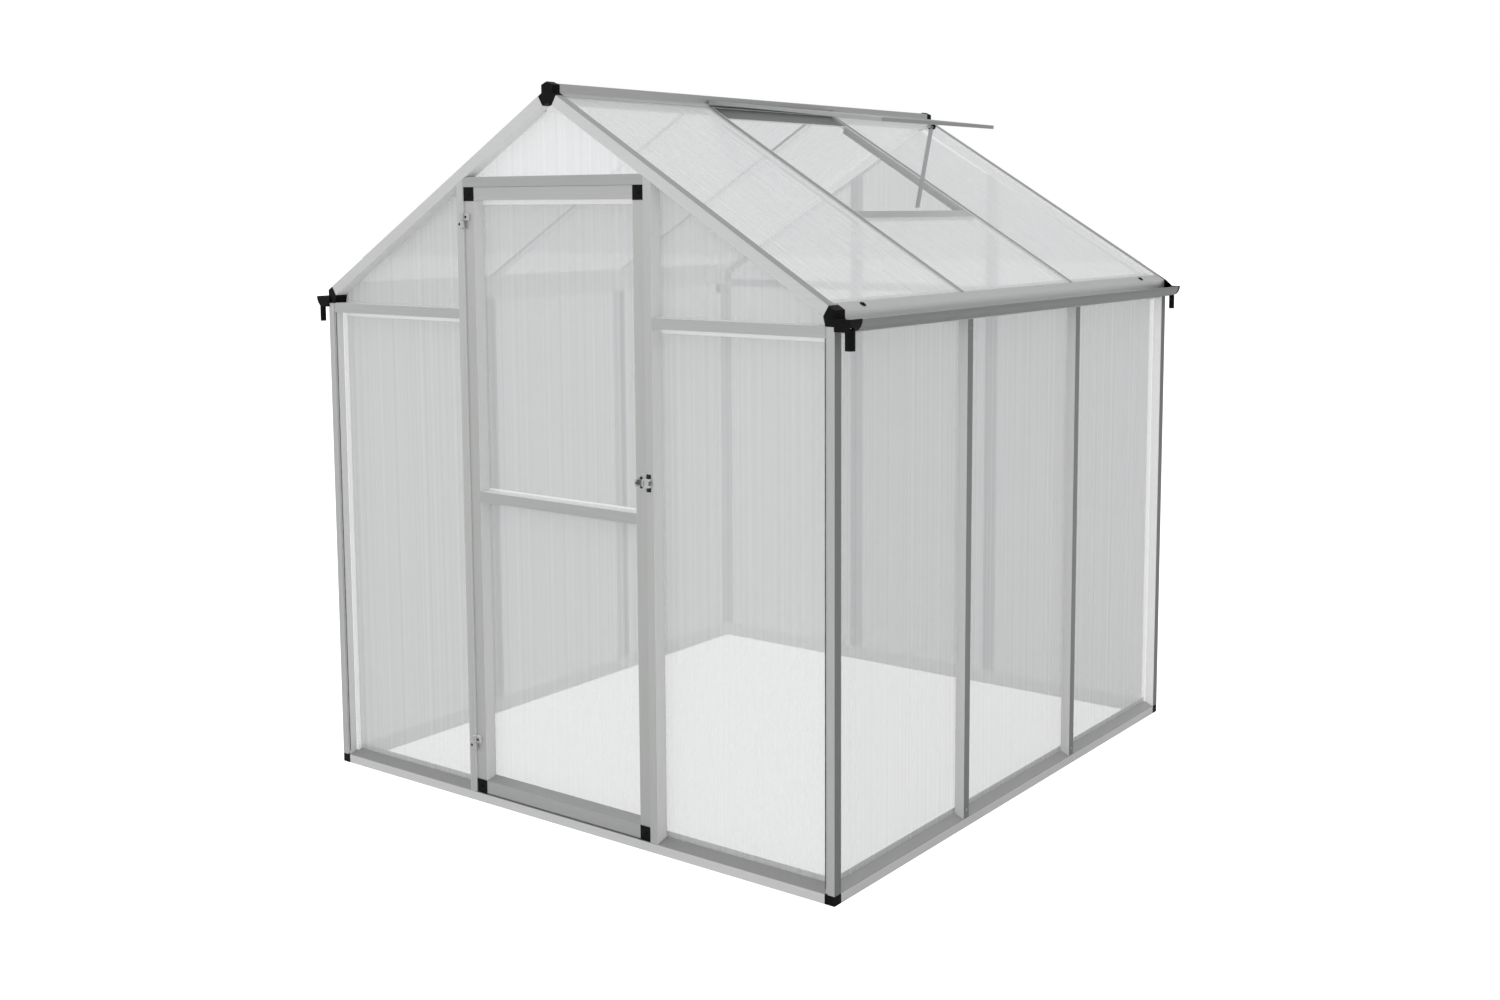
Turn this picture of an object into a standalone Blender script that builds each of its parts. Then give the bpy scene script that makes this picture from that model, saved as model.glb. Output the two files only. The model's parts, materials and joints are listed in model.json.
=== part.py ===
"""Walk-in hobby greenhouse with an aluminium frame and twin-wall sheets.

The door gable faces -Y, X runs across the gables, +Z is up and the floor is z = 0.
Lengths in the tables below are millimetres; every mesh is written in metres.
"""
import math

import bmesh
import bpy
from mathutils import Vector
from mathutils.geometry import tessellate_polygon

for stale in list(bpy.data.objects):
    bpy.data.objects.remove(stale, do_unlink=True)

MM = 0.001

# Driving sizes, millimetres.
HALF_W = 877.5          # outer half width over the base
HALF_D = 925.0          # outer half depth over the base
CENTRE_Y = 7.25         # moves the base back so the origin is the middle of the outer box
GAP = 0.3               # clearance between touching parts
SHEET = 4.0             # twin-wall sheet thickness
MEMBER = 27.0           # face width of the frame members
WALL = 2.0              # wall of the hollow sections
SIDE_RECESS = 27.0      # outer face to side sheet
GABLE_RECESS = 37.0     # outer face to gable sheet
LIP = 24.0              # height of the base lip
SILL = 35.0             # height of the base sill at the sheets
BAY = 308.3             # offset of the intermediate posts and roof bars
ROOF_TOP = 1925.6       # height of the roof planes above the centre line
ROOF_TAN = 0.6056       # fall of the roof planes
RAFTER_FACE = 28.4      # rafter face, square to the slope
EAVE_RAIL = (1331.0, 1358.0)
POST_TOP = 1357.0
JAMB = (314.5, 338.0)
REAR_POST = (257.5, 284.5)
DOOR_HALF = 314.0
DOOR_Z = (26.2, 1680.5)
DOOR_FACE = 4.5         # door face behind the gable face
DOOR_DEPTH = 35.0
STILE = 36.0
HEADER = (1681.2, 1707.3)
DOOR_AXIS = (-314.2, -930.0)
HINGE_Z = (147.0, 1574.0)
HINGE_TALL = 38.0
LATCH_Z = 948.0
VENT_AXIS = (21.0, 1914.0)
VENT_REST_DEG = 6.6     # fall of the open sash
VENT_HALF = 302.0
VENT_LENGTH = 585.0
VENT_OPENING = (88.0, 544.3)
VENT_OPENING_HALF = 294.5
STAY_PIVOT = (566.0, -5.0)
STAY_Y = -15.0
STAY_LENGTH = 226.0
STAY_DEG = 11.3         # lean of the hanging stay from the vertical
RAFTER_X = (31.0, 860.6)        # head and foot of the gable rafters
RAIL_END = 883.4                # half length of the eave beams
CONNECTOR_END = 883.7           # inner face of the eave connectors
SPOUT_Z = (1304.0, 1352.0)      # foot and head of the drain spouts
BAR_HALF = 5.0                  # half width of the roof glazing bars
BAR_DEPTH = 15.0                # their lower face below the roof plane
SILL_DEPTH = 13.0               # lower face of the vent sill below the roof plane

ROOF_ANGLE = math.atan(ROOF_TAN)
COS = math.cos(ROOF_ANGLE)
SIN = math.sin(ROOF_ANGLE)


def make_material(name, colour, metallic, roughness, alpha=1.0):
    material = bpy.data.materials.new(name)
    material.use_nodes = True
    shader = material.node_tree.nodes["Principled BSDF"]
    shader.inputs["Base Color"].default_value = (*colour, 1.0)
    shader.inputs["Metallic"].default_value = metallic
    shader.inputs["Roughness"].default_value = roughness
    shader.inputs["Alpha"].default_value = alpha
    return material


ALUMINIUM = make_material("mill_aluminium", (0.58, 0.60, 0.62), 0.9, 0.45)
DOOR_ALUMINIUM = make_material("door_aluminium", (0.60, 0.62, 0.64), 0.9, 0.42)
BLACK = make_material("black_polypropylene", (0.02, 0.02, 0.022), 0.0, 0.5)
GLAZING = make_material("twin_wall_polycarbonate", (0.86, 0.88, 0.90), 0.0, 0.25, 0.45)
STEEL = make_material("zinc_plated_steel", (0.55, 0.56, 0.57), 1.0, 0.35)


def own_material(base, name):
    copy = base.copy()
    copy.name = "mat_" + name
    return copy


def body(name, loops, rings, material):
    """Closed body through the rings of points; loops is the outline with its holes, used for the caps."""
    flat = [[Vector((a, b, 0.0)) for a, b in loop] for loop in loops]
    caps = tessellate_polygon(flat)
    count = sum(len(loop) for loop in loops)
    points = [(x * MM, (y + CENTRE_Y) * MM, z * MM) for ring in rings for x, y, z in ring]
    top = (len(rings) - 1) * count
    faces = [tuple(face) for face in caps]
    faces += [tuple(top + index for index in face) for face in caps]
    for step in range(len(rings) - 1):
        first = step * count
        for loop in loops:
            size = len(loop)
            for index in range(size):
                after = (index + 1) % size
                faces.append((first + index, first + after,
                              first + count + after, first + count + index))
            first += size
    mesh = bpy.data.meshes.new(name)
    mesh.from_pydata(points, [], faces)
    work = bmesh.new()
    work.from_mesh(mesh)
    bmesh.ops.recalc_face_normals(work, faces=work.faces)
    work.to_mesh(mesh)
    work.free()
    mesh.materials.append(own_material(material, name))
    thing = bpy.data.objects.new(name, mesh)
    bpy.context.scene.collection.objects.link(thing)
    return thing


def prism(name, loops, low, high, place, material):
    """Outline swept between low and high; each may be a number or a function of the outline point."""
    def level(end, a, b):
        return end(a, b) if callable(end) else end
    rings = [[place(a, b, level(end, a, b)) for loop in loops for a, b in loop]
             for end in (low, high)]
    return body(name, loops, rings, material)


def block(name, xs, ys, zs, material):
    outline = [(xs[0], ys[0]), (xs[1], ys[0]), (xs[1], ys[1]), (xs[0], ys[1])]
    return prism(name, [outline], zs[0], zs[1], lambda a, b, t: (a, b, t), material)


def disc(centre, radius, sides=24):
    turn = 2.0 * math.pi / sides
    return [(centre[0] + radius * math.cos(turn * k), centre[1] + radius * math.sin(turn * k))
            for k in range(sides)]


def box_loop(a0, a1, b0, b1):
    return [(a0, b0), (a1, b0), (a1, b1), (a0, b1)]


def combine(target, operation, others):
    """Bake one Boolean after another into the target and drop the other bodies."""
    for other in others:
        step = target.modifiers.new("join", "BOOLEAN")
        step.operation = operation
        step.solver = "EXACT"
        step.object = other
        graph = bpy.context.evaluated_depsgraph_get()
        mesh = bpy.data.meshes.new_from_object(target.evaluated_get(graph))
        keep = target.data.materials[0]
        target.modifiers.clear()
        target.data = mesh
        mesh.materials.clear()
        mesh.materials.append(keep)
        bpy.data.objects.remove(other, do_unlink=True)
    return target


def roof(x):
    return ROOF_TOP - ROOF_TAN * abs(x)


def below(x, depth):
    """Height of the line lying depth square below the roof plane."""
    return roof(x) - depth / COS


SIDES = (("left", -1.0), ("right", 1.0))
ENDS = (("front", -1.0), ("rear", 1.0))
UNDER_SHEET = SHEET + 0.35      # depth of the members that carry the roof sheets

# ---------------------------------------------------------------- base frame
side_profile = [(0, 0), (0, LIP), (1.5, LIP + 0.5), (SIDE_RECESS, SILL), (31.6, SILL), (31.6, 47),
                (34, 47), (34, 0), (31.5, 0), (31.5, 21), (2.5, 21), (2.5, 0)]
gable_profile = [(0, 0), (0, LIP), (1.5, LIP + 0.5), (GABLE_RECESS, SILL), (41.6, SILL), (41.6, 47),
                 (44, 47), (44, 0), (41.5, 0), (41.5, 21), (2.5, 21), (2.5, 0)]
for side, sx in SIDES:
    prism("base_rail_" + side, [side_profile], -896.7, 896.7,
          lambda a, b, t, sx=sx: (sx * (HALF_W - a), t, b), ALUMINIUM)

# The front rail drops to a flat threshold between the jambs.
for end, sy in ENDS:
    stations = [-849.2, 849.2]
    if end == "front":
        stations = [-849.2, -314.8, -314.3, 314.3, 314.8, 849.2]
    rings = []
    for x in stations:
        flat = abs(x) < 314.5
        rings.append([(x, sy * (HALF_D - a), LIP + 0.03 * (b - LIP) if flat and b > LIP else b)
                      for a, b in gable_profile])
    rail = body("base_rail_" + end, [gable_profile], rings, ALUMINIUM)
    combine(rail, "DIFFERENCE", [
        block("corner", sorted((sx * 843.2, sx * 860.0)),
              sorted((sy * (HALF_D - 28.0), sy * (HALF_D - 60.0))), (-5.0, 60.0), ALUMINIUM)
        for side, sx in SIDES])

for end, sy in ENDS:
    for side, sx in SIDES:
        block("base_corner_{}_{}".format(end, side),
              sorted((sx * HALF_W, sx * (HALF_W - 28.0))),
              sorted((sy * HALF_D, sy * (HALF_D - 28.0))), (0.0, LIP), BLACK)

# ---------------------------------------------------------------- uprights
corner_outline = [(0, 0), (19, 0), (19, 3), (MEMBER, 3), (MEMBER, MEMBER), (0, MEMBER)]
corner_bore = [(2, 2), (17, 2), (17, 5), (25, 5), (25, 25), (2, 25)]
for end, sy in ENDS:
    for side, sx in SIDES:
        prism("corner_post_{}_{}".format(end, side), [corner_outline, corner_bore],
              LIP + GAP, POST_TOP - GAP,
              lambda a, b, t, sx=sx, sy=sy: (sx * (HALF_W - a), sy * (HALF_D - b), t), ALUMINIUM)


def side_sill(a, b):
    return LIP + 0.5 + (SILL - LIP - 0.5) * max(a - 1.5, 0.0) / (SIDE_RECESS - 1.5) + 0.45


def gable_sill(a, b):
    return LIP + 0.5 + (SILL - LIP - 0.5) * max(a - 1.5, 0.0) / (GABLE_RECESS - 1.5) + 0.45


rib = [box_loop(0, SIDE_RECESS, -13.5, 13.5), box_loop(WALL, SIDE_RECESS - WALL, -11.5, 11.5)]
for side, sx in SIDES:
    for end, sy in ENDS:
        prism("side_post_{}_{}".format(side, end), rib, side_sill, 1339.7,
              lambda a, b, t, sx=sx, sy=sy: (sx * (HALF_W - a), sy * BAY + b, t), ALUMINIUM)


def tube(a0, a1, b0, b1, wall=WALL):
    return [box_loop(a0, a1, b0, b1), box_loop(a0 + wall, a1 - wall, b0 + wall, b1 - wall)]


def under_rafter(a, b):
    return below(b, RAFTER_FACE) - 0.4


for side, sx in SIDES:
    post = prism("rear_post_" + side, tube(0, GABLE_RECESS, *REAR_POST), gable_sill, under_rafter,
                 lambda a, b, t, sx=sx: (sx * b, HALF_D - a, t), ALUMINIUM)
    notch = block("notch", sorted((sx * (REAR_POST[0] - 5), sx * (REAR_POST[1] + 5))),
                  (HALF_D - 15.3, HALF_D + 5), (EAVE_RAIL[0] - GAP, EAVE_RAIL[1] + GAP), ALUMINIUM)
    combine(post, "DIFFERENCE", [notch])

# Door jambs; the left one carries the lower hinge leaves, the right one the latch keeper.
jambs = {}
for side, sx in SIDES:
    jambs[side] = prism("door_jamb_" + side, tube(0, GABLE_RECESS, *JAMB), gable_sill, under_rafter,
                        lambda a, b, t, sx=sx: (sx * b, -HALF_D + a, t), ALUMINIUM)


def knuckle(name, low, high, material):
    return prism(name, [disc(DOOR_AXIS, 4.6)], low, high, lambda a, b, t: (a, b, t), material)


for base in HINGE_Z:
    middle = base + HINGE_TALL / 2.0
    combine(jambs["left"], "UNION", [
        block("leaf", (-333.0, DOOR_AXIS[0] - 2.0), (-HALF_D - 2.5, -HALF_D + 1.0),
              (base, middle - GAP), ALUMINIUM),
        knuckle("barrel", base, middle - GAP, ALUMINIUM)])
keeper = prism("keeper", [box_loop(-11.0, 11.0, 0, 10.5), box_loop(-5.8, 5.8, 0.2, 7.8)], 316.0, 328.0,
               lambda a, b, t: (t, -HALF_D - b + 0.6, LATCH_Z + a), ALUMINIUM)
combine(jambs["right"], "UNION", [keeper])

# ---------------------------------------------------------------- gable rails
header_outline = [(-314.2, HEADER[0]), (314.2, HEADER[0]),
                  (314.2, below(314.2, RAFTER_FACE) - 0.4), (303.0, HEADER[1]),
                  (-303.0, HEADER[1]), (-314.2, below(314.2, RAFTER_FACE) - 0.4)]
prism("door_header", [header_outline], 0.0, GABLE_RECESS,
      lambda a, b, t: (a, -HALF_D + t, b), ALUMINIUM)
front_rail = [(JAMB[1] + GAP, 0), (HALF_W - MEMBER - GAP, 0), (HALF_W - MEMBER - GAP, 26.9),
              (845.9, 26.9), (845.9, GABLE_RECESS), (JAMB[1] + GAP, GABLE_RECESS)]
for side, sx in SIDES:
    rail = prism("front_eave_rail_" + side, [front_rail], EAVE_RAIL[0], EAVE_RAIL[1],
                 lambda a, b, t, sx=sx: (sx * a, -HALF_D + b, t), ALUMINIUM)
    bore = block("bore", sorted((sx * (JAMB[1] - 5), sx * 843.0)),
                 (-HALF_D + WALL, -HALF_D + GABLE_RECESS - 12.0),
                 (EAVE_RAIL[0] + WALL, EAVE_RAIL[1] - WALL), ALUMINIUM)
    combine(rail, "DIFFERENCE", [bore])
prism("rear_eave_rail", tube(EAVE_RAIL[0], EAVE_RAIL[1], 0, 15.0), -850.2, 850.2,
      lambda a, b, t: (t, HALF_D - b, a), ALUMINIUM)

# ---------------------------------------------------------------- eave beams with gutters
beam = [(853.4, roof(853.4)), (HALF_W, roof(HALF_W)), (HALF_W, 1350.0), (903, 1348.4), (912.5, 1351.6),
        (918.6, 1358.6), (922.2, 1367), (923, 1374.5), (925.2, 1374.5), (924.5, 1366.4), (920.8, 1357.2),
        (914, 1349.6), (904, 1346), (HALF_W, 1346), (HALF_W, 1340), (850.5, 1340), (850.5, 1352),
        (845.9, 1352), (845.9, 1340), (843.8, 1340), (843.8, below(843.8, UNDER_SHEET) - 2.6),
        (835, below(835, UNDER_SHEET) - 2.6), (835, below(835, UNDER_SHEET)),
        (853.4, below(853.4, UNDER_SHEET))]
beam_bore = [(853, 1342.2), (875.3, 1342.2), (875.3, roof(875.3) - 2.6), (855.9, roof(855.9) - 2.6),
             (852, below(852, UNDER_SHEET) - 2.6), (846.2, below(846.2, UNDER_SHEET) - 2.6),
             (846.2, 1354.3), (853, 1354.3)]
for side, sx in SIDES:
    prism("eave_gutter_" + side, [beam, beam_bore], -RAIL_END, RAIL_END,
          lambda a, b, t, sx=sx: (sx * a, t, b), ALUMINIUM)

# Moulded corner connectors close the gutters and carry the outlet spouts.
connector = [(861, roof(861)), (HALF_W, roof(HALF_W)), (HALF_W, 1357), (852, 1357), (846.3, 1380)]
gutter_end = [(870, POST_TOP), (877.9, POST_TOP), (877.9, 1346), (904, 1346), (914, 1349.6),
              (920.8, 1357.2), (924.5, 1366.4), (926, 1375.5), (870, 1375.5)]
gutter_bore = [(880, 1351), (903, 1351), (911, 1353.6), (917, 1360), (920.8, 1368), (922, 1380),
               (880, 1380)]
for end, sy in ENDS:
    for side, sx in SIDES:
        spout = {"front_right": (914.0, 917.0, 12.0)}.get(end + "_" + side, (912.0, 919.0, 8.0))
        if end == "rear":
            spout = (903.0, 915.0, 8.0)
        face = HALF_D + (4.0 if end == "front" else 0.5)

        def along(a, b, t, sx=sx, sy=sy):
            return (sx * a, sy * t, b)

        def upright(a, b, t, sx=sx, sy=sy):
            return (sx * a, sy * b, t)

        part = prism("eave_connector_{}_{}".format(end, side), [connector], CONNECTOR_END, HALF_D, along, BLACK)
        combine(part, "UNION", [
            prism("end_piece", [gutter_end], CONNECTOR_END, face, along, BLACK),
            prism("pipe", [disc(spout[:2], spout[2])], *SPOUT_Z, upright, BLACK)])
        combine(part, "DIFFERENCE", [
            prism("trough", [gutter_bore], 880.0, face - 2.5, along, BLACK),
            prism("drain", [disc(spout[:2], spout[2] - WALL)], SPOUT_Z[0] - 4.0, SPOUT_Z[1] + 4.0, upright,
                  BLACK)])

# ---------------------------------------------------------------- roof frame
head_x, foot_x = RAFTER_X
foot_under = (foot_x - SIN * RAFTER_FACE, roof(foot_x) - COS * RAFTER_FACE)
full_depth = [(head_x, roof(head_x)), (foot_x, roof(foot_x)), foot_under,
              (head_x - SIN * RAFTER_FACE, roof(head_x) - COS * RAFTER_FACE)]
sheet_seat_x = foot_x - SIN * UNDER_SHEET
under_sheet = [(36.6, below(36.6, UNDER_SHEET)), (sheet_seat_x, below(sheet_seat_x, UNDER_SHEET)), foot_under,
               (36.6, below(36.6, RAFTER_FACE))]
rafter_steps = ((0.0, full_depth), (26.6, full_depth), (27.0, under_sheet), (GABLE_RECESS, under_sheet))
for end, sy in ENDS:
    for side, sx in SIDES:
        rings = [[(sx * x, sy * (HALF_D - depth), z) for x, z in section] for depth, section in rafter_steps]
        body("gable_rafter_{}_{}".format(end, side), [full_depth], rings, ALUMINIUM)

bar_top = UNDER_SHEET + 0.05
bar_outline = [(36.6, below(36.6, bar_top)), (834.6, below(834.6, bar_top)),
               (834.6, below(834.6, bar_top) - 3.4), (843.4, below(843.4, bar_top) - 3.4),
               (843.4, below(843.4, BAR_DEPTH)), (15.0, below(15.0, BAR_DEPTH)),
               (15.0, below(15.0, bar_top) - 3.4), (36.6, below(36.6, bar_top) - 3.4)]
for side, sx in SIDES:
    for end, sy in ENDS:
        prism("roof_bar_{}_{}".format(side, end), [bar_outline], -BAR_HALF, BAR_HALF,
              lambda a, b, t, sx=sx, sy=sy: (sx * a, sy * BAY + t, b), ALUMINIUM)

ridge_half = [(20, 1937), (20, roof(20) + 1.9), (36, roof(36) + 1.9), (36, roof(36) + 0.35),
              (23, roof(23) + 0.35), (23, below(23, UNDER_SHEET)), (36, below(36, UNDER_SHEET)),
              (36, below(36, UNDER_SHEET) - 2.4), (14.6, below(14.6, UNDER_SHEET) - 2.4), (14.6, 1886)]
ridge_outline = [(0, 1940)] + ridge_half + [(0, 1889)]
ridge_outline += [(-x, z) for x, z in reversed(ridge_half)]
ridge_bore_half = [(17.8, 1935), (17.8, 1911.8), (12.4, 1911.8), (12.4, 1888.6)]
ridge_bore = [(0, 1937.8)] + ridge_bore_half + [(0, 1891.2)]
ridge_bore += [(-x, z) for x, z in reversed(ridge_bore_half)]
prism("ridge_bar", [ridge_outline, ridge_bore], -897.7, 897.7, lambda a, b, t: (a, t, b), ALUMINIUM)
cap_half = [(19, 1935), (19, 1914.3), (30.6, roof(30.6)),
            (30.6 - SIN * RAFTER_FACE, roof(30.6) - COS * RAFTER_FACE)]
cap_outline = [(0, 1943)] + cap_half + [(0, 1890)] + [(-x, z) for x, z in reversed(cap_half)]
for end, sy in ENDS:
    prism("ridge_cap_" + end, [cap_outline], 898.0, HALF_D,
          lambda a, b, t, sy=sy: (a, sy * t, b), BLACK)


def square_down(x, depth):
    """Point lying depth square below the roof plane under the plane's point at x."""
    return (x - depth * SIN, roof(x) - depth * COS)


def slope_box(near, far, shallow, deep):
    """Rectangle square to the slope between two stations and two depths below the roof plane."""
    return [square_down(near, shallow), square_down(far, shallow), square_down(far, deep),
            square_down(near, deep)]


# The sill stands in the opening and runs under the sheet to the glazing bars on both sides.
sill_reach = BAY - BAR_HALF - GAP
vent_sill = prism("vent_sill", [slope_box(514.0, 544.0, 1.0, SILL_DEPTH)], -294.2, 294.2,
                  lambda a, b, t: (a, t, b), ALUMINIUM)
combine(vent_sill, "UNION", [
    prism("sill_ends", [slope_box(514.0, 544.0, UNDER_SHEET + 0.3, SILL_DEPTH)], -sill_reach, sill_reach,
          lambda a, b, t: (a, t, b), ALUMINIUM)])

# ---------------------------------------------------------------- fixed sheets
for side, sx in SIDES:
    block("wall_sheet_" + side, sorted((sx * (HALF_W - SIDE_RECESS - GAP),
                                        sx * (HALF_W - SIDE_RECESS - GAP - SHEET))),
          (-897.7, 897.7), (SILL + GAP, 1351.6), GLAZING)


def gable_top(x):
    return below(x, 18.0)


sheet_a = GABLE_RECESS + GAP
front_half = [(322.0, SILL + GAP), (843.2, SILL + GAP), (843.2, gable_top(843.2)), (322.0, gable_top(322.0))]
for side, sx in SIDES:
    prism("front_sheet_" + side, [front_half], sheet_a, sheet_a + SHEET,
          lambda a, b, t, sx=sx: (sx * a, -HALF_D + t, b), GLAZING)
top_sheet = [(-321.5, 1694.0), (321.5, 1694.0), (321.5, gable_top(321.5)), (0.0, 1881.0),
             (-321.5, gable_top(321.5))]
prism("front_sheet_top", [top_sheet], sheet_a, sheet_a + SHEET,
      lambda a, b, t: (a, -HALF_D + t, b), GLAZING)
rear_sheet = [(-843.2, SILL + GAP), (843.2, SILL + GAP), (843.2, gable_top(843.2)), (0.0, 1881.0),
              (-843.2, gable_top(843.2))]
prism("rear_sheet", [rear_sheet], sheet_a, sheet_a + SHEET,
      lambda a, b, t: (a, HALF_D - t, b), GLAZING)


def slope_sheet(sx):
    """Place a point given as (x over the ground, y) plus a depth square below the roof plane."""
    return lambda a, b, t: (sx * (a - t * SIN), b, roof(a) - t * COS)


roof_outline = box_loop(25.6, 853.0, -897.3, 897.3)
prism("roof_sheet_left", [roof_outline], 0.0, SHEET, slope_sheet(-1.0), GLAZING)
prism("roof_sheet_right", [roof_outline, box_loop(VENT_OPENING[0], VENT_OPENING[1], -VENT_OPENING_HALF,
                                                  VENT_OPENING_HALF)],
      0.0, SHEET, slope_sheet(1.0), GLAZING)

# ---------------------------------------------------------------- door
door_axis = bpy.data.objects.new("door_axis", None)
door_axis.location = (DOOR_AXIS[0] * MM, (DOOR_AXIS[1] + CENTRE_Y) * MM, 0.0)
bpy.context.scene.collection.objects.link(door_axis)


def carry(thing, axis):
    """Hang a body on the empty that marks its joint axis."""
    thing.parent = axis
    thing.location = -axis.location
    return thing


door_y = (DOOR_FACE, DOOR_FACE + DOOR_DEPTH)
stiles = {}
for side, sx in SIDES:
    stiles[side] = prism("door_stile_" + side, tube(DOOR_HALF - STILE, DOOR_HALF, *door_y),
                         DOOR_Z[0], DOOR_Z[1],
                         lambda a, b, t, sx=sx: (sx * a, -HALF_D + b, t), DOOR_ALUMINIUM)
for base in HINGE_Z:
    middle = base + HINGE_TALL / 2.0
    combine(stiles["left"], "UNION", [
        block("leaf", (DOOR_AXIS[0] + 2.0, -296.0), (-HALF_D - 3.0, -HALF_D + DOOR_FACE + 1.0),
              (middle + GAP, base + HINGE_TALL), DOOR_ALUMINIUM),
        knuckle("barrel", middle + GAP, base + HINGE_TALL, DOOR_ALUMINIUM)])
plate = block("plate", (286.0, 312.0), (-HALF_D - 0.3, -HALF_D + DOOR_FACE + 1.0),
              (LATCH_Z - 22.0, LATCH_Z + 22.0), DOOR_ALUMINIUM)
bridge = [box_loop(-9.0, 9.0, -1.0, 10.0), box_loop(-5.4, 5.4, 0.3, 7.0)]
bridges = [prism("bridge", bridge, low, low + 4.0,
                 lambda a, b, t: (t, -HALF_D - b, LATCH_Z + a), DOOR_ALUMINIUM) for low in (286.0, 308.0)]
combine(stiles["right"], "UNION", [plate] + bridges)
carry(stiles["left"], door_axis)
carry(stiles["right"], door_axis)

rail_x = DOOR_HALF - STILE - GAP
door_back = door_y[1]
door_rails = (("door_rail_top", box_loop(1647.0, DOOR_Z[1], *door_y)),
              ("door_rail_middle", box_loop(838.5, 866.7, *door_y)),
              ("door_rail_bottom", [(27.0, DOOR_FACE), (62.0, DOOR_FACE), (70.0, door_back),
                                    (27.0, door_back)]))
for name, outline in door_rails:
    z0, z1 = outline[0][0], outline[1][0]
    bore = box_loop(z0 + WALL, z1 - WALL, DOOR_FACE + WALL, door_back - WALL)
    carry(prism(name, [outline, bore], -rail_x, rail_x,
                lambda a, b, t: (t, -HALF_D + b, a), DOOR_ALUMINIUM), door_axis)
sheet_y = -HALF_D + door_back + GAP
carry(block("door_sheet", (-297.0, 297.0), (sheet_y, sheet_y + SHEET), (46.0, 1664.0), GLAZING), door_axis)

# Latch bolt, drawn back at rest, with the finger knob between the bridges.
bolt = block("latch_bolt", (283.0, 313.6), (-HALF_D - 6.6, -HALF_D - 0.7), (LATCH_Z - 5.0, LATCH_Z + 5.0),
             STEEL)
knob = prism("knob", [disc((293.0, LATCH_Z), 2.7, 16)], 6.0, 15.0,
             lambda a, b, t: (a, -HALF_D - t, b), STEEL)
combine(bolt, "UNION", [knob])
carry(bolt, door_axis)

# ---------------------------------------------------------------- roof vent, drawn open
vent_axis = bpy.data.objects.new("vent_axis", None)
vent_axis.location = (VENT_AXIS[0] * MM, CENTRE_Y * MM, VENT_AXIS[1] * MM)
bpy.context.scene.collection.objects.link(vent_axis)
VC = math.cos(math.radians(VENT_REST_DEG))
VS = math.sin(math.radians(VENT_REST_DEG))


def on_sash(a, b, t):
    """Distance a down the sash from its hinge line, b along Y, t square above the hinge line."""
    return (VENT_AXIS[0] + a * VC + t * VS, b, VENT_AXIS[1] - a * VS + t * VC)


sash = prism("vent_sash", [box_loop(4.0, VENT_LENGTH, -VENT_HALF, VENT_HALF),
                           box_loop(26.0, VENT_LENGTH - 26.0, -VENT_HALF + 20.0, VENT_HALF - 20.0)],
             1.3, 11.3, on_sash, ALUMINIUM)
lugs = [prism("lug", [box_loop(STAY_PIVOT[0] - 6.0, STAY_PIVOT[0] + 6.0, y, y + 1.8)], -9.5, 4.0,
              on_sash, ALUMINIUM) for y in (STAY_Y - 11.4, STAY_Y + 9.6)]
combine(sash, "UNION", lugs)
carry(sash, vent_axis)
carry(prism("vent_sheet", [box_loop(26.3, VENT_LENGTH - 26.3, -VENT_HALF + 20.3, VENT_HALF - 20.3)],
            3.3, 3.3 + SHEET, on_sash, GLAZING), vent_axis)

pivot = on_sash(STAY_PIVOT[0], STAY_Y, STAY_PIVOT[1])
stay_axis = bpy.data.objects.new("stay_axis", None)
stay_axis.location = (pivot[0] * MM, (pivot[1] + CENTRE_Y) * MM, pivot[2] * MM)
bpy.context.scene.collection.objects.link(stay_axis)
LC = math.cos(math.radians(STAY_DEG))
LS = math.sin(math.radians(STAY_DEG))
stay_outline = [(-3.0, -1.5), (-1.5, -3.0), (1.5, -3.0), (3.0, -1.5), (STAY_LENGTH, -1.5),
                (STAY_LENGTH, 1.5), (3.0, 1.5), (1.5, 3.0), (-1.5, 3.0), (-3.0, 1.5)]
carry(prism("vent_stay", [stay_outline], STAY_Y - 9.0, STAY_Y + 9.0,
            lambda a, b, t: (pivot[0] - a * LS - b * LC, t, pivot[2] - a * LC + b * LS), STEEL), stay_axis)
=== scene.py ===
"""Looks of the walk-in greenhouse, put together in the order a fitter would: base, uprights, eaves,
roof, sheets, door, vent."""
import json
import math

import bpy
import numpy as np
from mathutils import Matrix, Vector

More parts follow.
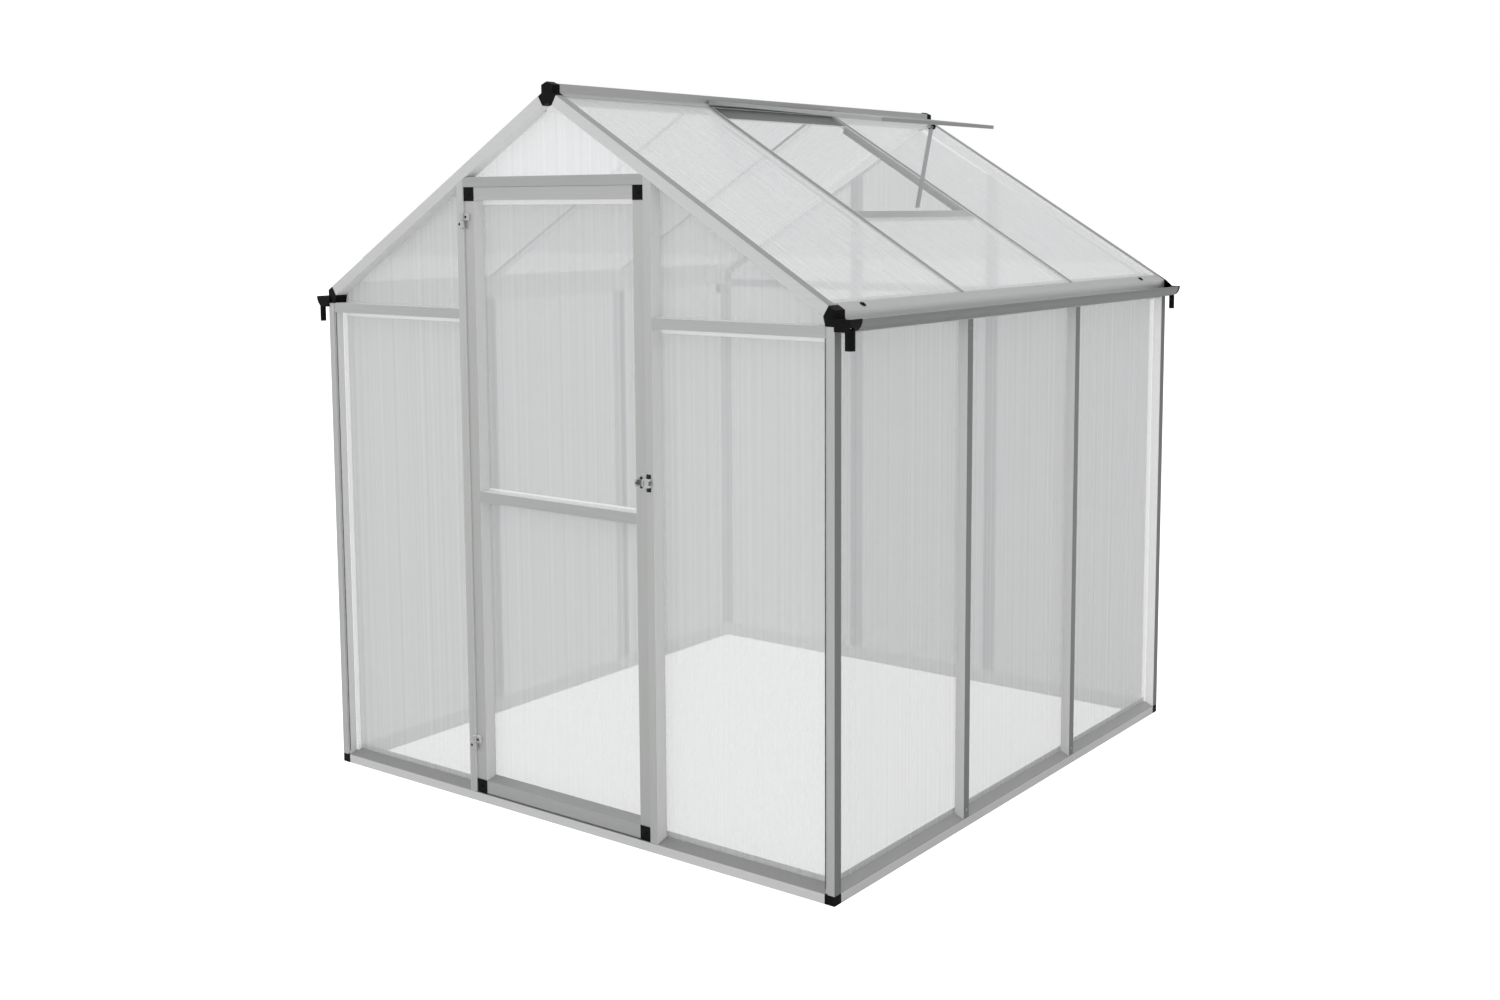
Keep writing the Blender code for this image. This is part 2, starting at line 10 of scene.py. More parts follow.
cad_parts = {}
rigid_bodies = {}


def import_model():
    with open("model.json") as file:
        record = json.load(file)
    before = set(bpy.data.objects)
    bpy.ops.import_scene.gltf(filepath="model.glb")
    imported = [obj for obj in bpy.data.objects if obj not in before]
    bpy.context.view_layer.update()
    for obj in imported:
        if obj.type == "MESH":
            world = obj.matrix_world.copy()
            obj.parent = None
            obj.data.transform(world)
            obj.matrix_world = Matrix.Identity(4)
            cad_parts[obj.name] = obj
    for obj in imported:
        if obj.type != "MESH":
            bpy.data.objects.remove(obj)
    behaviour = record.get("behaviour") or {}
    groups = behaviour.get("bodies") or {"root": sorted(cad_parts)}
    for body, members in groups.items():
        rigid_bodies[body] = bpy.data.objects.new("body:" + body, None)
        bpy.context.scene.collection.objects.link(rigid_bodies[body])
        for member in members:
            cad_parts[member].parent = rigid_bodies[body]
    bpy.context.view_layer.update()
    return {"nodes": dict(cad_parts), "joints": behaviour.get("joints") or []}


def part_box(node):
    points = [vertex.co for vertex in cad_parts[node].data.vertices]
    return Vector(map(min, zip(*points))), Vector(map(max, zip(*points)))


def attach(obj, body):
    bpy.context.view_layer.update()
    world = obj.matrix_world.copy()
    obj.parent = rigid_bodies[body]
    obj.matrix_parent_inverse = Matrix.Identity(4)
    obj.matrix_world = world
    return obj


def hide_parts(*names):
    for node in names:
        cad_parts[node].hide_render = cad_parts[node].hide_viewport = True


for stale in list(bpy.data.objects):
    bpy.data.objects.remove(stale, do_unlink=True)

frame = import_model()
nodes = frame["nodes"]

# ---------------------------------------------------------------------------------------------
# Base frame: extruded aluminium rails with a rainwater sill, bolted into black moulded corner
# blocks. The mill finish keeps faint die lines along every section and a soft uneven sheen.


def die_line_group():
    """Die lines: noise squeezed across the section and drawn out along it, plus broad dull patches."""
    group = bpy.data.node_groups.new("die_lines", "ShaderNodeTree")
    put = group.interface.new_socket
    put("Place", in_out="INPUT", socket_type="NodeSocketVector")
    put("Light", in_out="INPUT", socket_type="NodeSocketColor")
    put("Dark", in_out="INPUT", socket_type="NodeSocketColor")
    put("Smooth", in_out="INPUT", socket_type="NodeSocketFloat")
    put("Colour", in_out="OUTPUT", socket_type="NodeSocketColor")
    put("Roughness", in_out="OUTPUT", socket_type="NodeSocketFloat")
    put("Height", in_out="OUTPUT", socket_type="NodeSocketFloat")
    entry = group.nodes.new("NodeGroupInput")
    leave = group.nodes.new("NodeGroupOutput")
    link = group.links.new
    lines = group.nodes.new("ShaderNodeTexNoise")
    lines.inputs["Scale"].default_value = 260.0
    lines.inputs["Detail"].default_value = 3.0
    patches = group.nodes.new("ShaderNodeTexNoise")
    patches.inputs["Scale"].default_value = 14.0
    patches.inputs["Detail"].default_value = 2.0
    blend = group.nodes.new("ShaderNodeMath")
    blend.operation = "MULTIPLY_ADD"
    blend.inputs[1].default_value = 0.55
    spread = group.nodes.new("ShaderNodeMath")
    spread.operation = "MULTIPLY"
    spread.inputs[1].default_value = 0.45
    mix = group.nodes.new("ShaderNodeMix")
    mix.data_type = "RGBA"
    rough = group.nodes.new("ShaderNodeMath")
    rough.operation = "MULTIPLY_ADD"
    rough.inputs[1].default_value = 0.16
    link(entry.outputs["Place"], lines.inputs["Vector"])
    link(entry.outputs["Place"], patches.inputs["Vector"])
    link(patches.outputs["Fac"], spread.inputs[0])
    link(lines.outputs["Fac"], blend.inputs[0])
    link(spread.outputs[0], blend.inputs[2])
    link(blend.outputs[0], mix.inputs["Factor"])
    link(entry.outputs["Dark"], mix.inputs["A"])
    link(entry.outputs["Light"], mix.inputs["B"])
    link(patches.outputs["Fac"], rough.inputs[0])
    link(entry.outputs["Smooth"], rough.inputs[2])
    link(mix.outputs["Result"], leave.inputs["Colour"])
    link(rough.outputs[0], leave.inputs["Roughness"])
    link(lines.outputs["Fac"], leave.inputs["Height"])
    return group


die_lines = die_line_group()


bare_metal = 0.82


def painted_light_group():
    """Painted light and shade by face direction: where the normal leans away from the given side (dot
    product from 0.6 down to 0.3) mill finish gives way to a flat painted tone, also output for a glow."""
    group = bpy.data.node_groups.new("painted_light_side", "ShaderNodeTree")
    put = group.interface.new_socket
    put("Normal", in_out="INPUT", socket_type="NodeSocketVector")
    put("Painted light side", in_out="INPUT", socket_type="NodeSocketVector")
    put("Mill colour", in_out="INPUT", socket_type="NodeSocketColor")
    put("Painted flank colour", in_out="INPUT", socket_type="NodeSocketColor")
    put("Colour", in_out="OUTPUT", socket_type="NodeSocketColor")
    put("Metallic", in_out="OUTPUT", socket_type="NodeSocketFloat")
    put("Painted glow", in_out="OUTPUT", socket_type="NodeSocketColor")
    entry = group.nodes.new("NodeGroupInput")
    leave = group.nodes.new("NodeGroupOutput")
    link = group.links.new
    facing = group.nodes.new("ShaderNodeVectorMath")
    facing.operation = "DOT_PRODUCT"
    # Mask of the faces that take the painted tone.
    inner = group.nodes.new("ShaderNodeMapRange")
    inner.inputs["From Min"].default_value = 0.6
    inner.inputs["From Max"].default_value = 0.3
    painted_tone = group.nodes.new("ShaderNodeMix")
    painted_tone.data_type = "RGBA"
    metal = group.nodes.new("ShaderNodeMapRange")
    metal.inputs["To Min"].default_value = bare_metal
    metal.inputs["To Max"].default_value = 0.0
    painted_glow_tone = group.nodes.new("ShaderNodeMix")
    painted_glow_tone.data_type = "RGBA"
    painted_glow_tone.inputs["A"].default_value = (0.0, 0.0, 0.0, 1.0)
    link(entry.outputs["Normal"], facing.inputs[0])
    link(entry.outputs["Painted light side"], facing.inputs[1])
    link(facing.outputs["Value"], inner.inputs["Value"])
    link(inner.outputs["Result"], painted_tone.inputs["Factor"])
    link(entry.outputs["Mill colour"], painted_tone.inputs["A"])
    link(entry.outputs["Painted flank colour"], painted_tone.inputs["B"])
    link(inner.outputs["Result"], metal.inputs["Value"])
    link(inner.outputs["Result"], painted_glow_tone.inputs["Factor"])
    link(entry.outputs["Painted flank colour"], painted_glow_tone.inputs["B"])
    link(painted_tone.outputs["Result"], leave.inputs["Colour"])
    link(metal.outputs["Result"], leave.inputs["Metallic"])
    link(painted_glow_tone.outputs["Result"], leave.inputs["Painted glow"])
    return group


painted_light_sides = painted_light_group()
drawn_out = 0.03


def mill_aluminium(name, run, light=(0.64, 0.65, 0.64), dark=(0.50, 0.51, 0.505), smooth=0.34,
                   tilt=0.0, painted_light_side=None, painted_flank=0.84, glow=0.0):
    """Mill-finish aluminium whose die lines follow the axis run; tilt turns them about Y for roof members.
    Given a side, the faces not turned that way get a flat painted tone instead of mill finish: painted
    light where pale, painted shade where dark; glow makes those faces glow in it, also painted light."""
    material = bpy.data.materials.new(name)
    material.use_nodes = True
    tree = material.node_tree
    shader = tree.nodes["Principled BSDF"]
    shader.inputs["Metallic"].default_value = bare_metal
    place = tree.nodes.new("ShaderNodeTexCoord")
    turn = tree.nodes.new("ShaderNodeMapping")
    turn.inputs["Rotation"].default_value = (0.0, tilt, 0.0)
    turn.inputs["Scale"].default_value = [drawn_out if axis == run else 1.0 for axis in "xyz"]
    grain = tree.nodes.new("ShaderNodeGroup")
    grain.node_tree = die_lines
    grain.inputs["Light"].default_value = (*light, 1.0)
    grain.inputs["Dark"].default_value = (*dark, 1.0)
    grain.inputs["Smooth"].default_value = smooth
    bump = tree.nodes.new("ShaderNodeBump")
    bump.inputs["Strength"].default_value = 0.12
    bump.inputs["Distance"].default_value = 0.0004
    tree.links.new(place.outputs["Object"], turn.inputs["Vector"])
    tree.links.new(turn.outputs["Vector"], grain.inputs["Place"])
    tree.links.new(grain.outputs["Colour"], shader.inputs["Base Color"])
    tree.links.new(grain.outputs["Roughness"], shader.inputs["Roughness"])
    tree.links.new(grain.outputs["Height"], bump.inputs["Height"])
    tree.links.new(bump.outputs["Normal"], shader.inputs["Normal"])
    if painted_light_side is not None:
        sides = tree.nodes.new("ShaderNodeGroup")
        sides.node_tree = painted_light_sides
        sides.inputs["Painted light side"].default_value = painted_light_side
        sides.inputs["Painted flank colour"].default_value = (painted_flank, painted_flank, painted_flank, 1.0)
        tree.links.new(place.outputs["Normal"], sides.inputs["Normal"])
        tree.links.new(grain.outputs["Colour"], sides.inputs["Mill colour"])
        tree.links.new(sides.outputs["Colour"], shader.inputs["Base Color"])
        tree.links.new(sides.outputs["Metallic"], shader.inputs["Metallic"])
        # Glow: the faces with the painted tone emit it, painted light for daylight through the sheets.
        if glow:
            shader.inputs["Emission Strength"].default_value = glow
            tree.links.new(sides.outputs["Painted glow"], shader.inputs["Emission Color"])
    return material


def moulded_black(name, grey=0.004, rough=0.5):
    """Moulded or blackened surface: fine pebble from a small noise, scuffs up to twice as light as grey."""
    material = bpy.data.materials.new(name)
    material.use_nodes = True
    tree = material.node_tree
    shader = tree.nodes["Principled BSDF"]
    shader.inputs["Roughness"].default_value = rough
    shader.inputs["Specular IOR Level"].default_value = 0.08
    place = tree.nodes.new("ShaderNodeTexCoord")
    pebble = tree.nodes.new("ShaderNodeTexNoise")
    pebble.inputs["Scale"].default_value = 900.0
    scuff = tree.nodes.new("ShaderNodeTexNoise")
    scuff.inputs["Scale"].default_value = 45.0
    scuff.inputs["Detail"].default_value = 5.0
    tone = tree.nodes.new("ShaderNodeValToRGB")
    tone.color_ramp.elements[0].position = 0.35
    tone.color_ramp.elements[0].color = (grey, grey, grey * 1.05, 1.0)
    tone.color_ramp.elements[1].position = 0.75
    tone.color_ramp.elements[1].color = (grey * 2.2, grey * 2.2, grey * 2.3, 1.0)
    bump = tree.nodes.new("ShaderNodeBump")
    bump.inputs["Strength"].default_value = 0.25
    bump.inputs["Distance"].default_value = 0.0003
    tree.links.new(place.outputs["Object"], pebble.inputs["Vector"])
    tree.links.new(place.outputs["Object"], scuff.inputs["Vector"])
    tree.links.new(scuff.outputs["Fac"], tone.inputs["Fac"])
    tree.links.new(tone.outputs["Color"], shader.inputs["Base Color"])
    tree.links.new(pebble.outputs["Fac"], bump.inputs["Height"])
    tree.links.new(bump.outputs["Normal"], shader.inputs["Normal"])
    return material


def dress(material, *names):
    """Give CAD nodes their finish."""
    for name in names:
        slots = nodes[name].data.materials
        if len(slots):
            slots[0] = material
        else:
            slots.append(material)


black = moulded_black("black_moulding")
# Base rails: a bright mill tone on the outer faces is painted light; the dark tone elsewhere is painted shade.
base_painted_light_tones = ((0.84, 0.85, 0.84), (0.72, 0.73, 0.72))
for name, run, side in (("base_rail_front", "x", (0, -1, 0)), ("base_rail_right", "y", (1, 0, 0))):
    dress(mill_aluminium(name + "_metal", run, *base_painted_light_tones, painted_light_side=side, painted_flank=0.31), name)
# Inner faces: a pale painted tone with a glow, painted light for the daylight inside the sheets.
inner_painted_light = {"painted_flank": 0.86, "glow": 0.2}
rear_cross = mill_aluminium("aluminium_rear_cross", "x", painted_light_side=(0, 1, 0), **inner_painted_light)
left_length = mill_aluminium("aluminium_left_length", "y", painted_light_side=(-1, 0, 0), **inner_painted_light)
dress(rear_cross, "base_rail_rear")
dress(left_length, "base_rail_left")
corners = [(end, side) for end in ("front", "rear") for side in ("left", "right")]
dress(black, *["base_corner_{}_{}".format(*corner) for corner in corners])

# ---------------------------------------------------------------------------------------------
# Uprights: corner posts with a shadow groove, side ribs, door jambs and rear gable posts. Each is
# a straight extrusion standing on the sill and screwed to it; screws are zinc-plated.


def outward(points, faces):
    """Turn the faces round if the solid they close has a negative volume (sum of signed tetrahedra)."""
    volume = 0.0
    for face in faces:
        ring = points[list(face)]
        fan = np.cross(ring[1:-1], ring[2:])
        volume += np.einsum("ij,ij->i", fan, np.tile(ring[0], (len(ring) - 2, 1))).sum()
    return faces if volume > 0 else [tuple(reversed(face)) for face in faces]


def run_profile(profile, start, end, across, up):
    """A closed profile carried straight from start to end: point = station + a * across + b * up."""
    flat = np.asarray(profile, float)
    section = flat[:, :1] * np.asarray(across, float) + flat[:, 1:] * np.asarray(up, float)
    points = np.concatenate([section + np.asarray(start, float), section + np.asarray(end, float)])
    size = len(flat)
    near = np.arange(size)
    far = (near + 1) % size
    sides = np.stack([near, far, far + size, near + size], axis=1)
    faces = [tuple(range(size)), tuple(range(2 * size - 1, size - 1, -1))]
    faces += [tuple(face) for face in sides]
    return points, outward(points, faces)


def turned(profile, centre, axis, sides=16):
    """Profile (radius, height) turned about an axis; point = centre + radius * circle + height * axis."""
    axis = np.asarray(axis, float) / np.linalg.norm(axis)
    helper = np.array([0.0, 0.0, 1.0]) if abs(axis[2]) < 0.9 else np.array([1.0, 0.0, 0.0])
    first = np.cross(axis, helper)
    first /= np.linalg.norm(first)
    second = np.cross(axis, first)
    angle = np.linspace(0.0, 2.0 * np.pi, sides, endpoint=False)
    circle = np.cos(angle)[:, None] * first + np.sin(angle)[:, None] * second
    outline = np.asarray(profile, float)
    grid = np.asarray(centre, float) + outline[:, :1, None] * circle[None] + outline[:, 1:, None] * axis
    points = grid.reshape(-1, 3)
    row = np.arange(sides)
    faces = [tuple(row), tuple(row[::-1] + (len(outline) - 1) * sides)]
    for level in range(len(outline) - 1):
        base = level * sides
        after = (row + 1) % sides
        belt = np.stack([base + row, base + after, base + after + sides, base + row + sides], axis=1)
        faces += [tuple(face) for face in belt]
    return points, outward(points, faces)


def piece(name, parts, material, body="frame", soft_edge=0.0):
    """One finished piece from its closed parts, riding on a body; soft_edge rounds its corners."""
    points = np.concatenate([part[0] for part in parts])
    faces = []
    first = 0
    for part_points, part_faces in parts:
        faces += [tuple(int(index) + first for index in face) for face in part_faces]
        first += len(part_points)
    mesh = bpy.data.meshes.new(name)
    mesh.from_pydata(points.tolist(), [], faces)
    mesh.materials.append(material)
    thing = bpy.data.objects.new(name, mesh)
    bpy.context.scene.collection.objects.link(thing)
    if soft_edge:
        rounding = thing.modifiers.new("soft edge", "BEVEL")
        rounding.width = soft_edge
        rounding.segments = 2
        rounding.limit_method = "ANGLE"
    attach(thing, body)
    return thing


def pan_head(centre, axis, radius):
    """Pan-head screw: a low dome standing on a washer half as wide again."""
    washer = radius * 1.5
    rings = [(washer, -0.0003), (washer, 0.0006), (radius, 0.0007), (radius * 0.96, 0.0016),
             (radius * 0.6, 0.0024), (radius * 0.15, 0.0026)]
    return turned(rings, centre, axis)


diagonal = math.sqrt(0.5)
for end, side in corners:
    outward_way = (diagonal if side == "right" else -diagonal, diagonal if end == "rear" else -diagonal, 0)
    name = "corner_post_{}_{}".format(end, side)
    # Inner faces of all corner posts take the pale painted tone; the rear posts also glow, painted light.
    finish = inner_painted_light if end == "rear" else {"painted_flank": 0.86}
    dress(mill_aluminium(name + "_metal", "z", painted_light_side=outward_way, **finish), name)
left_upright = mill_aluminium("aluminium_left_upright", "z", painted_light_side=(-1, 0, 0), **inner_painted_light)
dress(left_upright, "side_post_left_front", "side_post_left_rear")
# Side ribs: the dark tone of the outer face is painted shade; the other faces take a pale painted tone.
rib_painted_shade_metal = mill_aluminium("aluminium_rib", "z", (0.32, 0.33, 0.325), (0.24, 0.25, 0.245),
                           painted_light_side=(1, 0, 0), painted_flank=0.78)
dress(rib_painted_shade_metal, "side_post_right_front", "side_post_right_rear")
# Gable uprights: mill finish on the front face, the pale painted tone (painted light) on the rest.
gable_upright = mill_aluminium("aluminium_gable_upright", "z", painted_light_side=(0, -1, 0))
dress(gable_upright, "door_jamb_left", "door_jamb_right")
rear_upright = mill_aluminium("aluminium_rear_upright", "z", painted_light_side=(0, 1, 0), **inner_painted_light)
dress(rear_upright, "rear_post_left", "rear_post_right")

# A dark side skin with a groove sits on each corner post, facing out to the side: painted shade.
skin_thick, skin_wide = 0.0004, 0.0265
groove_from, groove_to, groove_slope, groove_floor = 0.011, 0.014, 0.0005, 0.0001
groove = [(0.0, 0.0), (skin_thick, 0.0), (skin_thick, groove_from),
          (groove_floor, groove_from + groove_slope), (groove_floor, groove_to - groove_slope),
          (skin_thick, groove_to), (skin_thick, skin_wide), (0.0, skin_wide)]
skin_inset, skin_end_gap = 0.0002, 0.0005
painted_shade_metal = mill_aluminium("aluminium_painted_shade", "z", (0.30, 0.31, 0.305), (0.22, 0.23, 0.225), 0.42)
post_shade_skins = []
for end, side in corners:
    low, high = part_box("corner_post_{}_{}".format(end, side))
    facing = 1.0 if side == "right" else -1.0
    inward = 1.0 if end == "front" else -1.0
    edge = (high[0] if side == "right" else low[0],
            low[1] + skin_inset if end == "front" else high[1] - skin_inset)
    post_shade_skins.append(run_profile(groove, (*edge, low[2] + skin_end_gap), (*edge, high[2] - skin_end_gap),
                                  (facing, 0, 0), (0, inward, 0)))
piece("corner_post_shade_skins", post_shade_skins, painted_shade_metal)


def zinc(name):
    """Zinc-plated steel: bright metal, its roughness broken by a crystal-sized cell pattern."""
    material = bpy.data.materials.new(name)
    material.use_nodes = True
    tree = material.node_tree
    shader = tree.nodes["Principled BSDF"]
    shader.inputs["Metallic"].default_value = 1.0
    place = tree.nodes.new("ShaderNodeTexCoord")
    cells = tree.nodes.new("ShaderNodeTexVoronoi")
    cells.inputs["Scale"].default_value = 400.0
    tone = tree.nodes.new("ShaderNodeValToRGB")
    tone.color_ramp.elements[0].color = (0.40, 0.41, 0.43, 1.0)
    tone.color_ramp.elements[1].color = (0.58, 0.59, 0.60, 1.0)
    rough = tree.nodes.new("ShaderNodeMapRange")
    rough.inputs["To Min"].default_value = 0.25
    rough.inputs["To Max"].default_value = 0.45
    tree.links.new(place.outputs["Object"], cells.inputs["Vector"])
    tree.links.new(cells.outputs["Distance"], tone.inputs["Fac"])
    tree.links.new(cells.outputs["Distance"], rough.inputs["Value"])
    tree.links.new(tone.outputs["Color"], shader.inputs["Base Color"])
    tree.links.new(rough.outputs["Result"], shader.inputs["Roughness"])
    return material


zinc_steel = zinc("zinc_plated_steel")
rib_screw_in, rib_screw_radius = 0.022, 0.0028
rib_screws = []
for end, side in corners:
    low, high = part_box("side_post_{}_{}".format(side, end))
    x = high[0] if side == "right" else low[0]
    facing = 1.0 if side == "right" else -1.0
    for z in (low[2] + rib_screw_in, high[2] - rib_screw_in):
        rib_screws.append(pan_head((x, (low[1] + high[1]) / 2.0, z), (facing, 0, 0), rib_screw_radius))
piece("rib_screws", rib_screws, zinc_steel)

# ---------------------------------------------------------------------------------------------
# Gable rails: the header over the door, the front eave rails butted between post and jamb, and the
# rear eave rail, all square extrusions.

# Gable rails and header: mill finish on the front face, the pale painted tone (painted light) on the rest.
gable_cross = mill_aluminium("aluminium_gable_cross", "x", (0.58, 0.59, 0.58), (0.46, 0.47, 0.465),
                             painted_light_side=(0, -1, 0))
dress(gable_cross, "front_eave_rail_left", "front_eave_rail_right")
header_metal = mill_aluminium("aluminium_header", "x", (0.50, 0.51, 0.505), (0.40, 0.41, 0.405),
                              painted_light_side=(0, -1, 0))
dress(header_metal, "door_header")
dress(rear_cross, "rear_eave_rail")

# ---------------------------------------------------------------------------------------------
# Eaves: each side has one extrusion that is both the eave beam and the gutter. Black mouldings
# close its ends, lock it to the corner posts and drain the gutter through a spout.

dress(left_length, "eave_gutter_left")
beam_metal = mill_aluminium("aluminium_right_beam", "y", (0.70, 0.71, 0.705), (0.58, 0.59, 0.585))
dress(beam_metal, "eave_gutter_right")
dress(black, "eave_connector_front_left", "eave_connector_front_right")
roof_fall = 0.6056
roof_angle = math.atan(roof_fall)
roof_cos = math.cos(roof_angle)
roof_sin = math.sin(roof_angle)
ridge_height = 1.9256


def roof_at(x, above=0.0):
    """Height of the roof plane over x, or of the line lying above it, measured square to the slope."""
    return ridge_height - roof_fall * abs(x) + above / roof_cos


# The rear connectors are shallow flanges: the beam and gutter run nearly to the rear face.
beam_outline = [(0.8534, roof_at(0.8534)), (0.8775, roof_at(0.8775)), (0.8775, 1.350), (0.903, 1.3484),
                (0.9125, 1.3516), (0.9186, 1.3586), (0.9222, 1.367), (0.923, 1.3745), (0.9252, 1.3745),
                (0.9245, 1.3664), (0.9208, 1.3572), (0.914, 1.3496), (0.904, 1.346), (0.8780, 1.346),
                (0.8780, 1.357), (0.852, 1.357), (0.8463, 1.380), (0.8534, roof_at(0.8534, -0.0045))]
flange_outline = [(0.861, roof_at(0.861)), (0.8775, roof_at(0.8775)), (0.8780, 1.346), (0.904, 1.346),
                  (0.914, 1.3496), (0.9208, 1.3572), (0.9245, 1.3664), (0.926, 1.3755), (0.8790, 1.3755),
                  (0.8770, 1.357), (0.852, 1.357), (0.8463, 1.380)]
flange_depth = 0.013
spout_profile = [(0.0005, 0.0), (0.008, 0.0), (0.008, -0.0415), (0.0058, -0.0415), (0.0056, -0.004),
                 (0.0005, -0.004)]
spout_x, spout_in, spout_top = 0.903, 0.0095, 1.3463
front_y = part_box("base_corner_front_left")[0][1]
rear_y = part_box("base_corner_rear_left")[1][1]
flange_y = rear_y - flange_depth
gutter_front_y, gutter_rear_y = (corner[1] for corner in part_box("eave_gutter_right"))
along_y = mill_aluminium("aluminium_along_y", "y", (0.70, 0.71, 0.70), (0.56, 0.57, 0.56))
for side, facing in (("left", -1.0), ("right", 1.0)):
    across = (facing, 0, 0)
    stub = run_profile(beam_outline, (0, gutter_rear_y, 0), (0, flange_y, 0), across, (0, 0, 1))
    piece("eave_beam_end_" + side, [stub], along_y)
    flange = run_profile(flange_outline, (0, flange_y, 0), (0, rear_y, 0), across, (0, 0, 1))
    spout = turned(spout_profile, (facing * spout_x, rear_y - spout_in, spout_top), (0, 0, 1), 24)
    moulding = piece("rear_gutter_end_" + side, [flange, spout], black)
    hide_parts("eave_connector_rear_" + side)

# A dark skin paints shade on the gutter's outer face; a pale liner paints light behind the trough.
gutter_shade_skin = [(0.904, 1.3459), (0.914, 1.3495), (0.9208, 1.3571), (0.9246, 1.3663), (0.9253, 1.3745),
               (0.9256, 1.3745), (0.9249, 1.3661), (0.9211, 1.3567), (0.9142, 1.3491), (0.904, 1.3455)]
trough_light_liner = [(0.8776, 1.3506), (0.8783, 1.3506), (0.8783, 1.3935), (0.8776, 1.3939)]
gutter_shade_metal = mill_aluminium("aluminium_painted_shade_skin", "y", (0.36, 0.37, 0.365), (0.28, 0.29, 0.285), 0.45)
trough_light_metal = mill_aluminium("aluminium_painted_light_wall", "y", (0.90, 0.91, 0.90), (0.80, 0.81, 0.80), 0.3)
for name, profile, metal in (("gutter_shade_skins", gutter_shade_skin, gutter_shade_metal),
                             ("trough_light_liners", trough_light_liner, trough_light_metal)):
    runs = [run_profile(profile, (0, gutter_front_y, 0), (0, flange_y, 0), (facing, 0, 0), (0, 0, 1))
            for facing in (-1.0, 1.0)]
    piece(name, runs, metal)

# Screws through the sloping face of each beam, near both ends, with their dark sealing washers.
washer_profile = [(0.0082, -0.0002), (0.0082, 0.0014), (0.0055, 0.0022), (0.0005, 0.0022)]
screw_x, screw_up, screw_radius = 0.8655, 0.0018, 0.0026
screw_from_front, screw_from_rear = 0.134, 0.164
beam_screws = []
washers = []
for facing in (-1.0, 1.0):
    normal = (facing * roof_sin, 0, roof_cos)
    for y in (front_y + screw_from_front, rear_y - screw_from_rear):
        place = (facing * screw_x, y, roof_at(screw_x))
        washers.append(turned(washer_profile, place, normal))
        beam_screws.append(pan_head(np.array(place) + np.array(normal) * screw_up, normal, screw_radius))
piece("eave_screw_washers", washers, black)
piece("eave_screws", beam_screws, black)

# ---------------------------------------------------------------------------------------------
# Roof frame: gable rafters, glazing bars with snap-on caps over the sheets, the ridge bar with its
# black end caps, and the vent trimmers. Die lines run down the slope.

slopes = (("left", -1.0, roof_angle), ("right", 1.0, -roof_angle))
pale_metal = ((0.73, 0.74, 0.735), (0.61, 0.62, 0.615))
# Rafters and bars: painted light on inner faces, a pale tone, with glow on rear rafters and bars.
for side, facing, tilt in slopes:
    upper_and_front = diagonal * np.array([facing * roof_sin, -1.0, roof_cos])
    front_metal = mill_aluminium("front_rafter_" + side, "x", *pale_metal, tilt=tilt,
                                 painted_light_side=upper_and_front)
    dress(front_metal, "gable_rafter_front_" + side)
    rear_metal = mill_aluminium("rear_{}_rafter".format(side), "x", tilt=tilt, painted_light_side=(0, 1, 0),
                                **inner_painted_light)
    dress(rear_metal, "gable_rafter_rear_" + side)
    bar_metal = mill_aluminium("bar_{}_slope".format(side), "x", tilt=tilt,
                               painted_light_side=(facing * roof_sin, 0, roof_cos), **inner_painted_light)
    dress(bar_metal, "roof_bar_{}_front".format(side), "roof_bar_{}_rear".format(side))
dress(along_y, "ridge_bar", "vent_sill")
dress(black, "ridge_cap_front", "ridge_cap_rear")
cap_half, cap_vent_half, cap_shoulder, cap_crown = 0.0095, 0.0056, 0.0035, 0.0060
cap_foot, cap_edge, cap_top = 0.0002, 0.0012, 0.0024


def cap_section(inward):
    """Low trapezium over a bar: fixed half width outwards, inward half width given, sloping shoulders."""
    return [(-inward, cap_foot), (cap_half, cap_foot), (cap_half, cap_edge), (cap_crown, cap_top),
            (cap_shoulder - inward, cap_top), (-inward, cap_edge)]


cap_from, cap_to = 0.0368, 0.8526
cap_tones = ((0.50, 0.51, 0.505), (0.40, 0.41, 0.405), 0.4)
bar_lines = [sum(corner[1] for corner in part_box("roof_bar_right_" + end)) / 2.0 for end in ("front", "rear")]
centre_y = (front_y + rear_y) / 2.0
verge_from, verge_to, verge_wide = 0.0312, 0.8604, 0.0262
verge_foot, verge_top, verge_inset = 0.0001, 0.0009, 0.0004
verge_profile = [(0.0, verge_foot), (verge_wide, verge_foot), (verge_wide, verge_top), (0.0, verge_top)]
for side, facing, tilt in slopes:
    cap_metal = mill_aluminium("aluminium_cap_" + side, "x", *cap_tones, tilt)
    normal = (facing * roof_sin, 0, roof_cos)
    verges = [run_profile(verge_profile, (facing * verge_from, y, roof_at(verge_from)),
                          (facing * verge_to, y, roof_at(verge_to)), (0, 1, 0), normal)
              for y in (front_y + verge_inset, rear_y - verge_inset - verge_wide)]
    piece("verge_trims_" + side, verges, cap_metal)
    section = cap_section(cap_vent_half if side == "right" else cap_half)
    caps = [run_profile(section, (facing * cap_from, y, roof_at(cap_from)),
                        (facing * cap_to, y, roof_at(cap_to)), (0, 1 if y > centre_y else -1, 0), normal)
            for y in bar_lines]
    piece("roof_bar_caps_" + side, caps, cap_metal)

